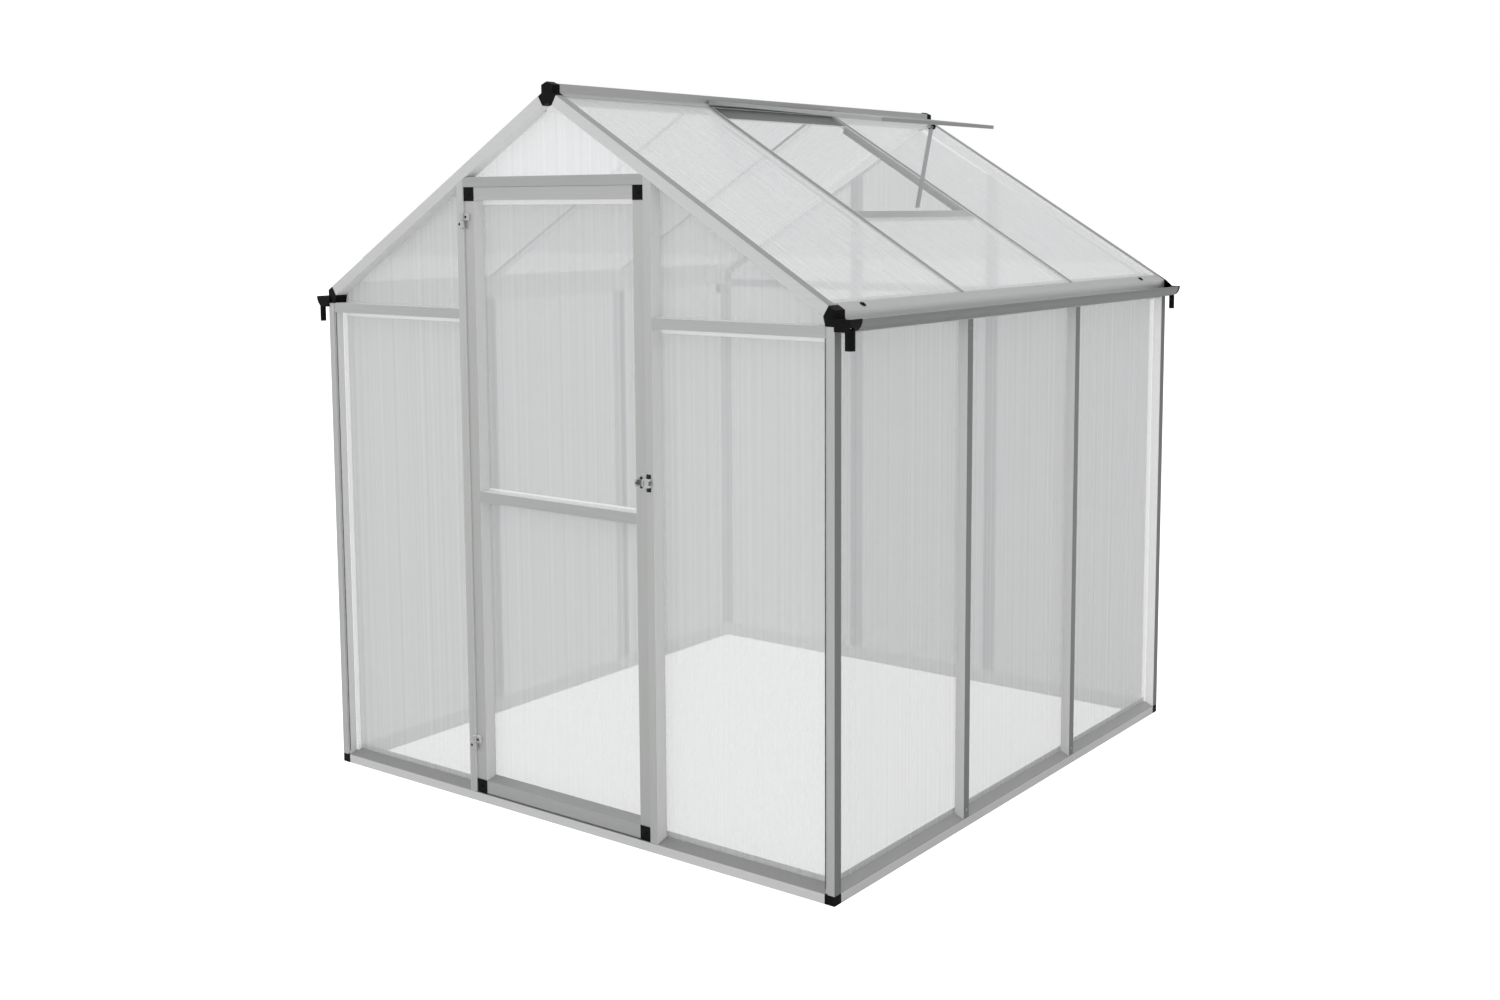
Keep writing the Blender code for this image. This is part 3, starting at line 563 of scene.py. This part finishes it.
# Head trimmer of the vent, lying on the sheet from the ridge flange to the opening.
head_from, head_to, head_half = 0.0368, 0.0878, 0.2942
head_foot, head_top, head_nose = 0.0002, 0.0014, 0.003
right_normal = (roof_sin, 0, roof_cos)
down_slope = (roof_cos, 0, -roof_sin)
head_length = (head_to - head_from) / roof_cos
head_profile = [(0.0, head_foot), (head_length, head_foot), (head_length, head_top), (head_nose, head_top)]
middle_y = sum(bar_lines) / 2.0
head = run_profile(head_profile, (head_from, middle_y - head_half, roof_at(head_from)),
                   (head_from, middle_y + head_half, roof_at(head_from)), down_slope, right_normal)
head_metal = mill_aluminium("aluminium_shaded", "y", (0.40, 0.41, 0.41), (0.30, 0.31, 0.31), 0.42)
piece("vent_head_trimmer", [head], head_metal)

# Side trimmers of the opening: stepped strips on the glazing bars' inner faces.
trim_metal = mill_aluminium("aluminium_trimmer", "x", (0.66, 0.67, 0.665), (0.52, 0.53, 0.525), 0.38,
                            -roof_angle)
trim_from, trim_to, trim_gap = 0.0885, 0.5435, 0.0002
trim_profile = [(0.0, -0.0008), (0.0015, -0.0008), (0.0015, -0.0046), (0.0086, -0.0046), (0.0086, -0.0235),
                (0.0050, -0.0235), (0.0050, -0.0160), (0.0022, -0.0150), (0.0022, -0.0100), (0.0, -0.0090)]
trims = []
for facing in (-1.0, 1.0):
    edge = middle_y + facing * (head_half + trim_gap)
    trims.append(run_profile(trim_profile, (trim_from, edge, roof_at(trim_from)),
                             (trim_to, edge, roof_at(trim_to)), (0, facing, 0), right_normal))
piece("vent_side_trimmers", trims, trim_metal)

# ---------------------------------------------------------------------------------------------
# Twin-wall sheets: clear polycarbonate, two skins joined by webs every few millimetres. The webs
# show as fine lines that run up the walls and down the roof slopes.


def flute_group():
    """Webs: a sine across the sheet sharpened to thin lines, and slow noise that varies the clearness."""
    group = bpy.data.node_groups.new("sheet_flutes", "ShaderNodeTree")
    put = group.interface.new_socket
    put("Across", in_out="INPUT", socket_type="NodeSocketFloat")
    put("Film", in_out="INPUT", socket_type="NodeSocketFloat")
    put("Colour", in_out="OUTPUT", socket_type="NodeSocketColor")
    put("Cover", in_out="OUTPUT", socket_type="NodeSocketFloat")
    put("Height", in_out="OUTPUT", socket_type="NodeSocketFloat")
    entry = group.nodes.new("NodeGroupInput")
    leave = group.nodes.new("NodeGroupOutput")
    link = group.links.new

    def math_node(operation, second=None, third=None):
        node = group.nodes.new("ShaderNodeMath")
        node.operation = operation
        if second is not None:
            node.inputs[1].default_value = second
        if third is not None:
            node.inputs[2].default_value = third
        return node

    pitch = 0.0064
    phase = math_node("MULTIPLY", math.pi / pitch)
    wave = math_node("SINE")
    size = math_node("ABSOLUTE")
    sharp = math_node("POWER", 6.0)
    streaks = group.nodes.new("ShaderNodeTexNoise")
    streaks.noise_dimensions = "1D"
    streaks.inputs["Scale"].default_value = 70.0
    streaks.inputs["Detail"].default_value = 3.0
    spread = math_node("MULTIPLY_ADD", 0.09, -0.045)
    web = math_node("MULTIPLY_ADD", 0.035)
    cover = math_node("ADD")
    tone = group.nodes.new("ShaderNodeMix")
    tone.data_type = "RGBA"
    tone.inputs["A"].default_value = (0.53, 0.535, 0.54, 1.0)
    tone.inputs["B"].default_value = (0.66, 0.665, 0.67, 1.0)
    link(entry.outputs["Across"], phase.inputs[0])
    link(phase.outputs[0], wave.inputs[0])
    link(wave.outputs[0], size.inputs[0])
    link(size.outputs[0], sharp.inputs[0])
    link(entry.outputs["Across"], streaks.inputs["W"])
    link(streaks.outputs["Fac"], spread.inputs[0])
    link(sharp.outputs[0], web.inputs[0])
    link(spread.outputs[0], web.inputs[2])
    link(web.outputs[0], cover.inputs[0])
    link(entry.outputs["Film"], cover.inputs[1])
    link(streaks.outputs["Fac"], tone.inputs["Factor"])
    link(tone.outputs["Result"], leave.inputs["Colour"])
    link(cover.outputs[0], leave.inputs["Cover"])
    link(sharp.outputs[0], leave.inputs["Height"])
    return group


sheet_flutes = flute_group()


def twin_wall(name, across, film=0.43, painted_glow=0.12):
    """Clear fluted sheet; across names the axis that counts the webs. It glows in its own tone as painted
    light.
    """
    material = bpy.data.materials.new(name)
    material.use_nodes = True
    tree = material.node_tree
    shader = tree.nodes["Principled BSDF"]
    shader.inputs["Roughness"].default_value = 0.22
    shader.inputs["IOR"].default_value = 1.5
    place = tree.nodes.new("ShaderNodeTexCoord")
    split = tree.nodes.new("ShaderNodeSeparateXYZ")
    flutes = tree.nodes.new("ShaderNodeGroup")
    flutes.node_tree = sheet_flutes
    flutes.inputs["Film"].default_value = film
    bump = tree.nodes.new("ShaderNodeBump")
    bump.inputs["Strength"].default_value = 0.1
    bump.inputs["Distance"].default_value = 0.0003
    shader.inputs["Emission Strength"].default_value = painted_glow
    tree.links.new(place.outputs["Object"], split.inputs["Vector"])
    tree.links.new(split.outputs[across], flutes.inputs["Across"])
    tree.links.new(flutes.outputs["Colour"], shader.inputs["Base Color"])
    tree.links.new(flutes.outputs["Colour"], shader.inputs["Emission Color"])
    tree.links.new(flutes.outputs["Cover"], shader.inputs["Alpha"])
    tree.links.new(flutes.outputs["Height"], bump.inputs["Height"])
    tree.links.new(bump.outputs["Normal"], shader.inputs["Normal"])
    return material


# Every sheet glows faintly as painted light; the roof and the top of the gable glow more.
gable_sheet = twin_wall("twin_wall_gable", "X")
wall_sheet = twin_wall("twin_wall_side", "Y")
roof_sheet = twin_wall("twin_wall_roof", "Y", painted_glow=0.32)
dress(gable_sheet, "front_sheet_left", "front_sheet_right", "rear_sheet", "door_sheet")
dress(twin_wall("twin_wall_gable_top", "X", painted_glow=0.58), "front_sheet_top")
dress(wall_sheet, "wall_sheet_left", "wall_sheet_right")
dress(roof_sheet, "roof_sheet_left", "roof_sheet_right", "vent_sheet")
# The sheets pass daylight on, so they cast no shadow.
for name, thing in nodes.items():
    if "sheet" in name:
        thing.visible_shadow = False

# Sealing strips close the open flutes along the level edges: a white U of extruded plastic.


def strip_plastic(name):
    """White translucent plastic, a little uneven in tone along its length, glowing faintly as painted light.
    """
    material = bpy.data.materials.new(name)
    material.use_nodes = True
    tree = material.node_tree
    shader = tree.nodes["Principled BSDF"]
    shader.inputs["Roughness"].default_value = 0.4
    shader.inputs["Emission Strength"].default_value = 0.14
    place = tree.nodes.new("ShaderNodeTexCoord")
    noise = tree.nodes.new("ShaderNodeTexNoise")
    noise.inputs["Scale"].default_value = 30.0
    tone = tree.nodes.new("ShaderNodeValToRGB")
    tone.color_ramp.elements[0].color = (0.84, 0.845, 0.845, 1.0)
    tone.color_ramp.elements[1].color = (0.92, 0.92, 0.92, 1.0)
    tree.links.new(place.outputs["Object"], noise.inputs["Vector"])
    tree.links.new(noise.outputs["Fac"], tone.inputs["Fac"])
    tree.links.new(tone.outputs["Color"], shader.inputs["Base Color"])
    tree.links.new(tone.outputs["Color"], shader.inputs["Emission Color"])
    return material


def box_part(low, high):
    """A plain block between two corners, as a square profile carried along Z."""
    square = [(low[0], low[1]), (high[0], low[1]), (high[0], high[1]), (low[0], high[1])]
    return run_profile(square, (0, 0, low[2]), (0, 0, high[2]), (1, 0, 0), (0, 1, 0))


white_strip = strip_plastic("white_sealing_strip")
strip_tall, strip_thick, strip_gap = 0.012, 0.0007, 0.0004
hairline = 0.0001
gable_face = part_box("front_sheet_left")[0][1]
sill_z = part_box("front_sheet_left")[0][2]
eave_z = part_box("front_eave_rail_right")[0][2]
jamb_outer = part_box("door_jamb_right")[1][0]
post_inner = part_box("corner_post_front_right")[0][0]
jamb_gap, post_gap = 0.0005, 0.0075
gable_strips = []
for facing in (-1.0, 1.0):
    xs = sorted((facing * (jamb_outer + jamb_gap), facing * (post_inner - post_gap)))
    low = (xs[0], gable_face - strip_thick - hairline, eave_z - strip_tall - strip_gap)
    gable_strips.append(box_part(low, (xs[1], gable_face - hairline, eave_z - strip_gap)))
piece("front_gable_strips", gable_strips, white_strip)

# A dark gasket line runs down the inner arris of each corner post, where the side sheet slots in.
gasket = moulded_black("grey_gasket", 0.12, 0.6)
gasket_thick = 0.0009
post_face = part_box("corner_post_front_right")[0][1]
gasket_lines = ((post_face + 0.0010, post_face + 0.0038), (rear_y - 0.0040, rear_y - 0.0012))
gaskets = []
for facing in (-1.0, 1.0):
    xs = sorted((facing * (post_inner - gasket_thick), facing * (post_inner - hairline)))
    for near, far in gasket_lines:
        gaskets.append(box_part((xs[0], near, sill_z + strip_gap), (xs[1], far, eave_z - strip_gap)))
piece("corner_gaskets", gaskets, gasket)

# ---------------------------------------------------------------------------------------------
# Door: aluminium stiles and rails keyed into black corner blocks, hung on two lift-off hinges and
# held by a sliding bolt. One sheet fills it behind the middle rail.

# Door stiles and rails: mill finish on the front face, the pale painted tone (painted light) on the rest.
door_upright = mill_aluminium("door_upright", "z", (0.60, 0.61, 0.60), (0.48, 0.49, 0.48),
                              painted_light_side=(0, -1, 0))
dress(door_upright, "door_stile_left", "door_stile_right")
door_cross = mill_aluminium("door_cross", "x", (0.58, 0.59, 0.58), (0.46, 0.47, 0.46),
                            painted_light_side=(0, -1, 0))
dress(door_cross, "door_rail_top", "door_rail_middle")
dress(mill_aluminium("door_kick_rail", "x", (0.56, 0.57, 0.56), (0.44, 0.45, 0.44)), "door_rail_bottom")
dress(moulded_black("browned_bolt", 0.10, 0.35), "latch_bolt")
door_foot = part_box("door_stile_left")[0][2]
door_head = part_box("door_stile_right")[1][2]
door_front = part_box("door_rail_top")[0][1]
door_half, block = 0.3141, 0.0362
block_over, block_proud, block_sunk, block_rounding = 0.0002, 0.0014, 0.0003, 0.0008
corner_screw_radius = 0.003
blocks = []
corner_screws = []
for facing in (-1.0, 1.0):
    xs = sorted((facing * door_half, facing * (door_half - block)))
    for z0, z1 in ((door_foot - block_over, door_foot + block), (door_head - block, door_head + block_over)):
        blocks.append(box_part((xs[0], door_front - block_proud, z0), (xs[1], door_front + block_sunk, z1)))
    for z in (door_foot + block / 2, door_head - block / 2):
        centre = (facing * (door_half - block / 2), door_front - block_proud - hairline, z)
        corner_screws.append(pan_head(centre, (0, -1, 0), corner_screw_radius))
piece("door_corner_blocks", blocks, black, "door", block_rounding)
piece("door_corner_screws", corner_screws, black, "door")

# Hinge pins with their washers stay on the jamb; each leaf has a screw.
hinge = next(joint for joint in frame["joints"] if joint["name"] == "door_hinge")
pin_x, pin_y = hinge["pos_m"][:2]
hinge_feet, knuckle_half = (0.147, 1.574), 0.019
washer_ring = [(0.0052, -0.0006), (0.0056, 0.0), (0.0052, 0.0006)]
pin_tip = [(0.0030, -0.0002), (0.0034, -0.0022), (0.0022, -0.0034)]
jamb_leaf_x, jamb_leaf_proud, jamb_leaf_up = -0.327, 0.0026, 0.0095
door_leaf_x, door_leaf_proud, door_leaf_up = -0.3025, 0.0031, 0.0285
leaf_screw_radius = 0.0024
pins = []
jamb_screws = []
door_screws = []
for foot in hinge_feet:
    pins.append(turned(washer_ring, (pin_x, pin_y, foot + knuckle_half), (0, 0, 1), 20))
    pins.append(turned(pin_tip, (pin_x, pin_y, foot), (0, 0, 1)))
    jamb_screws.append(pan_head((jamb_leaf_x, front_y - jamb_leaf_proud, foot + jamb_leaf_up),
                                (0, -1, 0), leaf_screw_radius))
    door_screws.append(pan_head((door_leaf_x, front_y - door_leaf_proud, foot + door_leaf_up),
                                (0, -1, 0), leaf_screw_radius))
piece("hinge_pins", pins, zinc_steel)

# Bolt plate screws on the stile and keeper screws on the jamb, blackened as on the real fitting.
dark_steel = moulded_black("blackened_steel", 0.02, 0.35)
piece("jamb_leaf_screws", jamb_screws, dark_steel)
piece("door_leaf_screws", door_screws, dark_steel, "door")
latch_z = sum(corner[2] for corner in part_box("latch_bolt")) / 2.0
plate_x, plate_proud, plate_rise, plate_screw = 0.299, 0.0003, 0.0112, 0.0028
plate_screws = [pan_head((plate_x, front_y - plate_proud, latch_z + rise), (0, -1, 0), plate_screw)
                for rise in (-plate_rise, plate_rise)]
piece("latch_plate_screws", plate_screws, dark_steel, "door")
keeper_near, keeper_far, keeper_proud = 0.3165, 0.3300, 0.0012
lug_inner, lug_outer = 0.0115, 0.022
lugs = [box_part((keeper_near, front_y - keeper_proud, latch_z + low),
                 (keeper_far, front_y - hairline, latch_z + high))
        for low, high in ((-lug_outer, -lug_inner), (lug_inner, lug_outer))]
piece("keeper_lugs", lugs, dark_steel)
keeper_x, keeper_rise, keeper_screw = 0.3235, 0.0160, 0.0030
keeper_face = front_y - keeper_proud - hairline
keeper_screws = [pan_head((keeper_x, keeper_face, latch_z + rise), (0, -1, 0), keeper_screw)
                 for rise in (-keeper_rise, keeper_rise)]
piece("keeper_screws", keeper_screws, dark_steel)

# Sealing strips of the door sheet: one under the top rail, one along the middle rail's upper edge.
door_sheet_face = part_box("door_sheet")[0][1]
top_rail_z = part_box("door_rail_top")[0][2]
middle_rail_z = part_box("door_rail_middle")[1][2]
strip_reach, sill_strip_tall = 0.2775, 0.0045
door_strips = []
for z, tall in ((middle_rail_z + strip_gap, sill_strip_tall),
                (top_rail_z - strip_tall - strip_gap, strip_tall)):
    door_strips.append(box_part((-strip_reach, door_sheet_face - strip_thick - hairline, z),
                                (strip_reach, door_sheet_face - hairline, z + tall)))
piece("door_strips", door_strips, white_strip, "door")

# ---------------------------------------------------------------------------------------------
# Roof vent: an aluminium sash whose head turns in the ridge bar, glazed like the roof, propped on a
# flat zinc-plated stay that drops over a peg on the vent sill.

dress(mill_aluminium("vent_aluminium", "x", (0.50, 0.51, 0.51), (0.38, 0.39, 0.39)), "vent_sash")
dress(zinc_steel, "vent_stay")
stay_y = sum(corner[1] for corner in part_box("vent_stay")) / 2.0
stay_joint = next(joint for joint in frame["joints"] if joint["name"] == "stay_fold")
pivot_x, _, pivot_z = stay_joint["pos_m"]
stay_washer = [(0.0030, 0.0), (0.0075, 0.0), (0.0075, 0.0012), (0.0030, 0.0012), (0.0030, 0.0)]
stay_washers = [turned(stay_washer, (pivot_x, stay_y + shift, pivot_z), (0, 1, 0))
                for shift in (-0.0105, 0.0093)]
piece("stay_washers", stay_washers, dark_steel, "vent")
pin_half = 0.0125
pin_profile = [(0.0034, 0.0), (0.0034, 0.001), (0.0018, 0.0011), (0.0018, 0.0239), (0.0034, 0.024),
               (0.0034, 0.025)]
stay_pin = turned(pin_profile, (pivot_x, stay_y - pin_half, pivot_z), (0, 1, 0))
piece("stay_pin", [stay_pin], zinc_steel, "vent")

# ---------------------------------------------------------------------------------------------
# Studio: a seamless pale floor, one broad soft dome and the viewing camera.


def plain_floor():
    """Flat pale ground, a single large square."""
    mesh = bpy.data.meshes.new("floor")
    reach, level = 40.0, -0.001
    mesh.from_pydata([(-reach, -reach, level), (reach, -reach, level), (reach, reach, level),
                      (-reach, reach, level)], [], [(0, 1, 2, 3)])
    material = bpy.data.materials.new("floor")
    material.use_nodes = True
    tree = material.node_tree
    tree.nodes.clear()
    out = tree.nodes.new("ShaderNodeOutputMaterial")
    seen = tree.nodes.new("ShaderNodeLightPath")
    glow = tree.nodes.new("ShaderNodeEmission")
    glow.inputs["Color"].default_value = (1.0, 1.0, 1.0, 1.0)
    glow.inputs["Strength"].default_value = 1.36
    paint = tree.nodes.new("ShaderNodeBsdfDiffuse")
    paint.inputs["Color"].default_value = (0.80, 0.80, 0.80, 1.0)
    mix = tree.nodes.new("ShaderNodeMixShader")
    tree.links.new(seen.outputs["Is Camera Ray"], mix.inputs["Fac"])
    tree.links.new(paint.outputs[0], mix.inputs[1])
    tree.links.new(glow.outputs[0], mix.inputs[2])
    tree.links.new(mix.outputs[0], out.inputs["Surface"])
    mesh.materials.append(material)
    thing = bpy.data.objects.new("floor", mesh)
    bpy.context.scene.collection.objects.link(thing)
    return thing


def soft_dome():
    """White backdrop to the eye; as light, a dome brighter in front and overhead than to the right."""
    world = bpy.data.worlds.new("studio")
    bpy.context.scene.world = world
    world.use_nodes = True
    tree = world.node_tree
    tree.nodes.clear()
    out = tree.nodes.new("ShaderNodeOutputWorld")
    seen = tree.nodes.new("ShaderNodeLightPath")
    backdrop = tree.nodes.new("ShaderNodeBackground")
    backdrop.inputs["Strength"].default_value = 1.0
    backdrop.inputs["Color"].default_value = (1.0, 1.0, 1.0, 1.0)
    light = tree.nodes.new("ShaderNodeBackground")
    way = tree.nodes.new("ShaderNodeTexCoord")
    lean = tree.nodes.new("ShaderNodeVectorMath")
    lean.operation = "DOT_PRODUCT"
    lean.inputs[1].default_value = (-0.20, -0.36, 0.48)
    level = tree.nodes.new("ShaderNodeMath")
    level.operation = "ADD"
    level.inputs[1].default_value = 0.78
    mix = tree.nodes.new("ShaderNodeMixShader")
    tree.links.new(way.outputs["Generated"], lean.inputs[0])
    tree.links.new(lean.outputs["Value"], level.inputs[0])
    tree.links.new(level.outputs[0], light.inputs["Strength"])
    tree.links.new(seen.outputs["Is Camera Ray"], mix.inputs["Fac"])
    tree.links.new(light.outputs[0], mix.inputs[1])
    tree.links.new(backdrop.outputs[0], mix.inputs[2])
    tree.links.new(mix.outputs[0], out.inputs["Surface"])


def viewing_camera():
    """Camera at standing eye height in front of the right corner, looking a little down."""
    eye = bpy.data.cameras.new("camera")
    eye.lens = 39.53
    eye.sensor_width = 36.0
    eye.shift_x = -0.0137
    eye.shift_y = -0.0755
    thing = bpy.data.objects.new("camera", eye)
    bpy.context.scene.collection.objects.link(thing)
    yaw, down, roll = math.radians(36.41), math.radians(6.24), math.radians(-0.234)
    back = Vector((math.sin(yaw) * math.cos(down), -math.cos(yaw) * math.cos(down), math.sin(down)))
    right = Vector((0, 0, 1)).cross(back).normalized()
    up = back.cross(right)
    turned_right = math.cos(roll) * right + math.sin(roll) * up
    turned_up = -math.sin(roll) * right + math.cos(roll) * up
    stand = Vector((2.952, -3.981 + centre_y, 1.6265))
    thing.matrix_world = Matrix((
        (turned_right.x, turned_up.x, back.x, stand.x), (turned_right.y, turned_up.y, back.y, stand.y),
        (turned_right.z, turned_up.z, back.z, stand.z), (0, 0, 0, 1)))
    bpy.context.scene.camera = thing


plain_floor()
soft_dome()
viewing_camera()
bpy.context.scene.view_settings.view_transform = "Standard"
